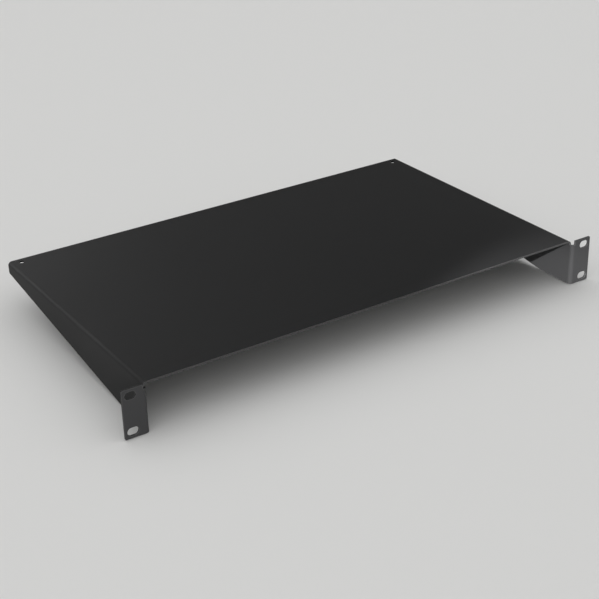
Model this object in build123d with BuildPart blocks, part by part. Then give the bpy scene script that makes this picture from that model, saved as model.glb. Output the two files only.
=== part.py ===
from build123d import *
import os

# Cantilever rack shelf, 1U high, for a 19-inch rack, folded from one steel sheet.
# Millimetres. X runs along the rack's width, Y from the ears to the rear edge, Z up.
# The origin is the centre of the four slots, on the rear faces of the two ears.

# Sheet and its bends
sheet = 1.5
inner_bend = 2.0

# Rack panel, which the two ears are the ends of
panel_width = 482.6
ear_width = 20.3
panel_corner = 1.0

# Slots for the rack's screws, two in each ear
slot_rows = 31.75
slot_from_end = 5.875
slot_from_side = 7.3
slot_length = 10.0
slot_width = 7.0

# Tray, reaching back from the ears' rear faces, with its top just under the ears' top
tray_reach = 268.5
tray_drop = 0.3

# Side flanges, level under the front of the tray and then rising straight to the rear
level_run = 38.0
rear_height = 11.0
flange_corner = 1.5

# Relief between the tray's bend and the ear's bend
relief_depth = 0.3
relief_corner = 0.8

# Round hole in each rear corner of the tray
hole_diameter = 5.0
hole_from_side = 10.5
hole_from_rear = 7.0

# Widths, levels and places worked out from the sizes above
outer_bend = inner_bend + sheet
tray_width = panel_width - 2 * ear_width
slot_columns = panel_width - 2 * slot_from_side
panel_height = slot_rows + 2 * slot_from_end
half_tray = tray_width / 2
half_panel = panel_width / 2
ear_top = panel_height / 2
ear_bottom = -panel_height / 2
tray_top = ear_top - tray_drop
tray_front = inner_bend
rear_bottom = tray_top - rear_height
relief_bottom = tray_top - outer_bend - relief_depth

with BuildPart() as shelf:

    # Tray and side flanges, folded down as one channel
    with BuildSketch(Plane.XZ.offset(-tray_front)):
        with BuildLine():
            FilletPolyline(
                (-half_tray, ear_bottom),
                (-half_tray, tray_top),
                (half_tray, tray_top),
                (half_tray, ear_bottom),
                radius=outer_bend,
            )
            offset(amount=sheet, side=Side.RIGHT)
        make_face()
    extrude(amount=tray_front - tray_reach)

    # Straight rise of the flanges' lower edges
    with BuildSketch(Plane.YZ):
        with BuildLine():
            Polyline(
                (level_run, ear_bottom),
                (tray_reach, rear_bottom),
                (tray_reach, ear_bottom),
                close=True,
            )
        make_face()
    extrude(amount=half_tray, both=True, mode=Mode.SUBTRACT)
    rear_edges = shelf.edges().filter_by(Axis.X).group_by(Axis.Y)[-1]
    fillet(rear_edges.group_by(Axis.Z)[0], flange_corner)

    # Ears, folded outwards from the flanges' front ends
    with BuildSketch(Plane.XY.offset(ear_bottom)):
        with BuildLine():
            bend = JernArc((half_tray - sheet, tray_front), (0, -1), outer_bend, 90)
            Line(bend @ 1, (half_panel, -sheet))
            offset(amount=sheet, side=Side.LEFT)
        make_face()
        mirror(about=Plane.YZ)
    extrude(amount=panel_height)
    ear_ends = shelf.edges().filter_by(Axis.Y).group_by(Axis.X)
    fillet(ear_ends[0] + ear_ends[-1], panel_corner)

    # Relief that frees the ears' bends from the tray's bends
    with BuildSketch(Plane.XZ.offset(-tray_front)):
        with Locations((half_tray - sheet, relief_bottom)):
            relief = Rectangle(
                outer_bend, ear_top - relief_bottom, align=(Align.MIN, Align.MIN)
            )
        fillet(relief.vertices().group_by(Axis.Y)[0].sort_by(Axis.X)[-1], relief_corner)
        mirror(about=Plane.YZ)
    extrude(amount=outer_bend, mode=Mode.SUBTRACT)

    # Slots in the ears
    with BuildSketch(Plane.XZ):
        with GridLocations(slot_columns, slot_rows, 2, 2):
            SlotOverall(slot_length, slot_width)
    extrude(amount=sheet, mode=Mode.SUBTRACT)

    # Holes in the tray's rear corners
    with BuildSketch(Plane.XY.offset(tray_top)):
        with Locations((half_tray - hole_from_side, tray_reach - hole_from_rear)):
            Circle(hole_diameter / 2)
        mirror(about=Plane.YZ)
    extrude(amount=-sheet, mode=Mode.SUBTRACT)

shelf.part.label = "shelf"

os.makedirs("parts", exist_ok=True)
export_step(shelf.part, "parts/shelf.step")
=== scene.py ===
import math

import bpy
from mathutils import Matrix, Vector


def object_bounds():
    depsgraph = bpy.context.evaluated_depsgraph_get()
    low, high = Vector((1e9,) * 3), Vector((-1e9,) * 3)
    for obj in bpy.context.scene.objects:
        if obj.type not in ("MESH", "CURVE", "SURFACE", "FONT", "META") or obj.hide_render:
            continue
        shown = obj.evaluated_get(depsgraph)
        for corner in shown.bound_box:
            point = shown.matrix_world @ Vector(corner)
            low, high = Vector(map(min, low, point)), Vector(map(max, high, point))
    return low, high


# Lengths are in metres and angles in degrees, unless a comment says otherwise.
MILLIMETRE = 0.001

# The photograph's view, with the focal length and the image's width in pixels
VIEW_AZIMUTH = -32.56
VIEW_ELEVATION = 26.76
VIEW_ROLL = -1.57
VIEW_DISTANCE = 1.077
VIEW_AIM = Vector((-0.0794, -0.0015, 0.0515))
FOCAL_PIXELS = 1345.3
IMAGE_PIXELS = 599
SENSOR_MILLIMETRES = 36.0

# The room: a pale floor just under the ears, which curves up at its rim into a sloping wall
FLOOR_GAP = 0.6 * MILLIMETRE
FLOOR_RADIUS = 2.5
SWEEP_RADIUS = 3.0
SWEEP_STEPS = 24
WALL_SLOPE = 45
WALL_RUN = 1.5
ROOM_SIDES = 96
FLOOR_COLOUR = (0.80, 0.80, 0.79)
FLOOR_ROUGHNESS = 0.9
FLOOR_SPECULAR = 0.1

# Even light on the room from a wide patch of sky: its width, and its strength in W/m2
ROOM_LIGHT_WIDTH = 140
ROOM_LIGHT = 2.3

# Square soft boxes on the shelf: azimuth, elevation, and brightness per unit of area
SOFT_BOX_DISTANCE = 2.0
SOFT_BOX_SIZE = 1.0
SOFT_BOX_AIM = Vector((0, 0.13, 0))
SOFT_BOXES = {
    "back_high": (160, 55, 2.7),
    "back": (180, 25, 1.4),
    "back_left": (-155, 25, 2.0),
    "left_low": (-145, 15, 2.0),
    "right_low": (95, 8, 11),
}

# Low strip of light in front of the shelf: width and height, and brightness per unit of area
STRIP_PLACE = Vector((-0.10, -0.70, 0.03))
STRIP_AIM = Vector((0.20, 0.02, 0))
STRIP_SIZE = (1.0, 0.12)
STRIP_BRIGHTNESS = 30

# Snooted lights on the right ear and its flange: aim, azimuth, elevation, cone, and power in W
SNOOT_DISTANCE = 1.8
SNOOT_RADIUS = 0.015
SNOOT_BLEND = 0.7
SNOOTS = {
    "flange_snoot": (Vector((0.225, 0.010, -0.055)), -62, 22, 5.5, 510),
    "ear_snoot": (Vector((0.231, 0, 0)), 0, 12, 3.2, 100),
}

# Powder coat, with a highlight painted along the sheet's edges. The edge's mask runs over the
# cosine between the rounded and the flat normal.
COAT_COLOUR = (0.0180, 0.0180, 0.0184)
COAT_SPECULAR = 0.08
COAT_IOR = 1.5
GRAIN_SHADES = (0.82, 1.18)
GRAIN_ROUGHNESS = (-0.03, 0.03)
CLOUD_ROUGHNESS = (0.46, 0.48)
# Paler colour painted along the sheet's edges as a highlight
EDGE_HIGHLIGHT_COLOUR = (0.0700, 0.0700, 0.0705)
EDGE_ROUND = 0.6 * MILLIMETRE
EDGE_SAMPLES = 8
EDGE_COSINES = (0.99, 0.85)

# Sizes of the coat's lumps, and the depth and strength of those that are bumps
GRAIN_SIZE = 0.6 * MILLIMETRE
PEEL_SIZE = 3.2 * MILLIMETRE
CLOUD_SIZE = 90 * MILLIMETRE
WAVE_SIZE = 160 * MILLIMETRE
GRAIN_BUMP = (0.012 * MILLIMETRE, 0.6)
PEEL_BUMP = (0.012 * MILLIMETRE, 0.6)
WAVE_BUMP = (0.15 * MILLIMETRE, 0.5)

# Most of a noise's values lie between these
NOISE_SPAN = (0.3, 0.7)


def direction(azimuth, elevation):
    """Unit vector towards a viewer or a light; azimuth 0 is in front of the ears."""
    a, e = math.radians(azimuth), math.radians(elevation)
    return Vector((math.sin(a) * math.cos(e), -math.cos(a) * math.cos(e), math.sin(e)))


def link(thing):
    """Puts this object into the scene."""
    bpy.context.scene.collection.objects.link(thing)
    return thing


def add_camera():
    """A camera at the photograph's viewpoint, turned by the photograph's small roll."""
    back = direction(VIEW_AZIMUTH, VIEW_ELEVATION)
    right = (-back).cross(Vector((0, 0, 1))).normalized()
    up = right.cross(-back)
    roll = math.radians(VIEW_ROLL)
    rolled_right = right * math.cos(roll) + up * math.sin(roll)
    rolled_up = up * math.cos(roll) - right * math.sin(roll)
    rotation = Matrix((rolled_right, rolled_up, back)).transposed().to_4x4()
    data = bpy.data.cameras.new("photo_view")
    data.sensor_width = SENSOR_MILLIMETRES
    data.lens = SENSOR_MILLIMETRES * FOCAL_PIXELS / IMAGE_PIXELS
    camera = link(bpy.data.objects.new("photo_view", data))
    camera.matrix_world = Matrix.Translation(VIEW_AIM + back * VIEW_DISTANCE) @ rotation
    bpy.context.scene.camera = camera


def new_material(name):
    """A material with its node tree, and its Principled shader."""
    material = bpy.data.materials.new(name)
    material.use_nodes = True
    shader = material.node_tree.nodes["Principled BSDF"]
    return material, material.node_tree, shader


def add_noise(tree, place, size, detail=2.0, roughness=0.5):
    """Noise with lumps about this size across."""
    noise = tree.nodes.new("ShaderNodeTexNoise")
    noise.inputs["Scale"].default_value = 1.0 / size
    noise.inputs["Detail"].default_value = detail
    noise.inputs["Roughness"].default_value = roughness
    tree.links.new(place.outputs["Object"], noise.inputs["Vector"])
    return noise.outputs["Fac"]


def add_range(tree, value, span, result=(0.0, 1.0)):
    """The value, spread from the two ends of its span to the two ends of the result."""
    spread = tree.nodes.new("ShaderNodeMapRange")
    spread.inputs["From Min"].default_value, spread.inputs["From Max"].default_value = span
    spread.inputs["To Min"].default_value, spread.inputs["To Max"].default_value = result
    tree.links.new(value, spread.inputs["Value"])
    return spread.outputs["Result"]


def add_colour_mix(tree, factor):
    """A mix of the colours A and B by this factor."""
    mix = tree.nodes.new("ShaderNodeMix")
    mix.data_type = "RGBA"
    tree.links.new(factor, mix.inputs["Factor"])
    return mix


def add_edge_highlight_mask(tree, rounded):
    """Where the painted edge highlight goes: 1 where the rounded normal leaves the flat one, over
    the sheet's edges, and 0 elsewhere.
    """
    flat = tree.nodes.new("ShaderNodeNewGeometry")
    agree = tree.nodes.new("ShaderNodeVectorMath")
    agree.operation = "DOT_PRODUCT"
    tree.links.new(rounded, agree.inputs[0])
    tree.links.new(flat.outputs["True Normal"], agree.inputs[1])
    return add_range(tree, agree.outputs["Value"], EDGE_COSINES)


def add_bumps(tree, normal, bumps):
    """The normal with these bumps on it, each a noise with its depth and strength."""
    for noise, (depth, strength) in bumps:
        bump = tree.nodes.new("ShaderNodeBump")
        bump.inputs["Strength"].default_value = strength
        bump.inputs["Distance"].default_value = depth
        tree.links.new(noise, bump.inputs["Height"])
        tree.links.new(normal, bump.inputs["Normal"])
        normal = bump.outputs["Normal"]
    return normal


def powder_coat():
    """Satin black powder coat: a fine grain over a slight orange peel.

    The sheet under it is not quite flat. The coat is rounded over the sheet's edges, and a paler
    colour is painted there as a highlight.
    """
    material, tree, shader = new_material("powder_coat_satin")
    place = tree.nodes.new("ShaderNodeTexCoord")
    grain = add_noise(tree, place, GRAIN_SIZE, detail=3.0, roughness=0.6)
    peel = add_noise(tree, place, PEEL_SIZE)
    wave = add_noise(tree, place, WAVE_SIZE, detail=1.0)
    cloud = add_noise(tree, place, CLOUD_SIZE)
    edges = tree.nodes.new("ShaderNodeBevel")
    edges.samples = EDGE_SAMPLES
    edges.inputs["Radius"].default_value = EDGE_ROUND
    rounded = edges.outputs["Normal"]

    colour = add_colour_mix(tree, grain)
    for socket, shade in zip(("A", "B"), GRAIN_SHADES):
        colour.inputs[socket].default_value = (*[shade * c for c in COAT_COLOUR], 1)
    # Painted highlight: a paler colour mixed into the coat along the sheet's edges
    painted_edge_highlight = add_colour_mix(tree, add_edge_highlight_mask(tree, rounded))
    painted_edge_highlight.inputs["B"].default_value = (*EDGE_HIGHLIGHT_COLOUR, 1)
    tree.links.new(colour.outputs["Result"], painted_edge_highlight.inputs["A"])
    tree.links.new(painted_edge_highlight.outputs["Result"], shader.inputs["Base Color"])

    roughness = tree.nodes.new("ShaderNodeMath")
    tree.links.new(add_range(tree, grain, NOISE_SPAN, GRAIN_ROUGHNESS), roughness.inputs[0])
    tree.links.new(add_range(tree, cloud, NOISE_SPAN, CLOUD_ROUGHNESS), roughness.inputs[1])
    tree.links.new(roughness.outputs["Value"], shader.inputs["Roughness"])

    bumps = ((wave, WAVE_BUMP), (peel, PEEL_BUMP), (grain, GRAIN_BUMP))
    tree.links.new(add_bumps(tree, rounded, bumps), shader.inputs["Normal"])
    shader.inputs["IOR"].default_value = COAT_IOR
    shader.inputs["Specular IOR Level"].default_value = COAT_SPECULAR
    return material


def dress_shelf(shelf):
    """Powder coat on the folded sheet."""
    shelf.material_slots[0].material = powder_coat()


def room_profile(level):
    """Radius and height of the room's rings, from the floor's flat part to the wall's top."""
    slope = math.radians(WALL_SLOPE)
    profile = [(FLOOR_RADIUS, level)]
    for step in range(1, SWEEP_STEPS + 1):
        turn = slope * step / SWEEP_STEPS
        radius = FLOOR_RADIUS + SWEEP_RADIUS * math.sin(turn)
        height = level + SWEEP_RADIUS * (1 - math.cos(turn))
        profile.append((radius, height))
    profile.append((radius + WALL_RUN * math.cos(slope), height + WALL_RUN * math.sin(slope)))
    return profile


def add_room(level):
    """A round pale floor at this level, with a curved rim and a sloping wall."""
    verts = [(0.0, 0.0, level)]
    faces = []
    for ring, (radius, height) in enumerate(room_profile(level)):
        for side in range(ROOM_SIDES):
            a = 2 * math.pi * side / ROOM_SIDES
            verts.append((radius * math.cos(a), radius * math.sin(a), height))
            here = 1 + ring * ROOM_SIDES + side
            following = 1 + ring * ROOM_SIDES + (side + 1) % ROOM_SIDES
            if ring == 0:
                faces.append((0, here, following))
            else:
                faces.append((here - ROOM_SIDES, here, following, following - ROOM_SIDES))
    mesh = bpy.data.meshes.new("floor")
    mesh.from_pydata(verts, [], faces)
    mesh.polygons.foreach_set("use_smooth", [True] * len(faces))
    material, _, shader = new_material("pale_floor")
    shader.inputs["Base Color"].default_value = (*FLOOR_COLOUR, 1)
    shader.inputs["Roughness"].default_value = FLOOR_ROUGHNESS
    shader.inputs["Specular IOR Level"].default_value = FLOOR_SPECULAR
    mesh.materials.append(material)
    floor = link(bpy.data.objects.new("floor", mesh))
    return floor


def add_world():
    """A black world, so that only the lights and the room light the shelf."""
    world = bpy.data.worlds.new("dark_world")
    world.use_nodes = True
    world.node_tree.nodes["Background"].inputs["Color"].default_value = (0, 0, 0, 1)
    bpy.context.scene.world = world


def only(name, thing):
    """A collection that holds this object alone."""
    collection = bpy.data.collections.new(name)
    collection.objects.link(thing)
    return collection


def add_light(name, kind, receivers):
    """A light that reaches only these receivers and isn't itself in the picture."""
    light = link(bpy.data.objects.new(name, bpy.data.lights.new(name, kind)))
    light.light_linking.receiver_collection = receivers
    light.visible_camera = False
    return light


def face(light, place, aim):
    """Puts the light at this place and turns it to face aim."""
    light.location = place
    light.rotation_mode = "QUATERNION"
    light.rotation_quaternion = (place - aim).to_track_quat("Z", "Y")


def shape(light, width, height, brightness):
    """Gives an area light this size and this brightness per unit of area."""
    light.data.shape = "RECTANGLE"
    light.data.size = width
    light.data.size_y = height
    light.data.energy = brightness * math.pi * width * height


def add_lights(shelf, floor):
    """Even light on the room, and studio lights on the shelf, which leave the room alone."""
    room_light = add_light("room_light", "SUN", only("room_only", floor))
    room_light.data.angle = math.radians(ROOM_LIGHT_WIDTH)
    room_light.data.energy = ROOM_LIGHT

    shelf_only = only("shelf_only", shelf)
    for name, (azimuth, elevation, brightness) in SOFT_BOXES.items():
        box = add_light(name, "AREA", shelf_only)
        shape(box, SOFT_BOX_SIZE, SOFT_BOX_SIZE, brightness)
        place = SOFT_BOX_AIM + direction(azimuth, elevation) * SOFT_BOX_DISTANCE
        face(box, place, SOFT_BOX_AIM)

    strip = add_light("front_strip", "AREA", shelf_only)
    shape(strip, *STRIP_SIZE, STRIP_BRIGHTNESS)
    face(strip, STRIP_PLACE, STRIP_AIM)

    for name, (aim, azimuth, elevation, cone, power) in SNOOTS.items():
        snoot = add_light(name, "SPOT", shelf_only)
        snoot.data.energy = power
        snoot.data.spot_size = math.radians(cone)
        snoot.data.spot_blend = SNOOT_BLEND
        snoot.data.shadow_soft_size = SNOOT_RADIUS
        face(snoot, aim + direction(azimuth, elevation) * SNOOT_DISTANCE, aim)


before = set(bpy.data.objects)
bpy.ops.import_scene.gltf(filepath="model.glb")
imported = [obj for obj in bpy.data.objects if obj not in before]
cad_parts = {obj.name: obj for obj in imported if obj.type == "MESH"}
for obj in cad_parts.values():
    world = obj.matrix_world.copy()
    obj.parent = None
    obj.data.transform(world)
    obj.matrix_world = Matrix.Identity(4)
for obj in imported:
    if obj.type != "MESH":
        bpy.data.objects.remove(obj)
cad_low, cad_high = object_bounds()
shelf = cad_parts["shelf"]
dress_shelf(shelf)
floor = add_room(cad_low.z - FLOOR_GAP)
add_world()
add_lights(shelf, floor)
add_camera()
bpy.context.scene.view_settings.view_transform = "Standard"
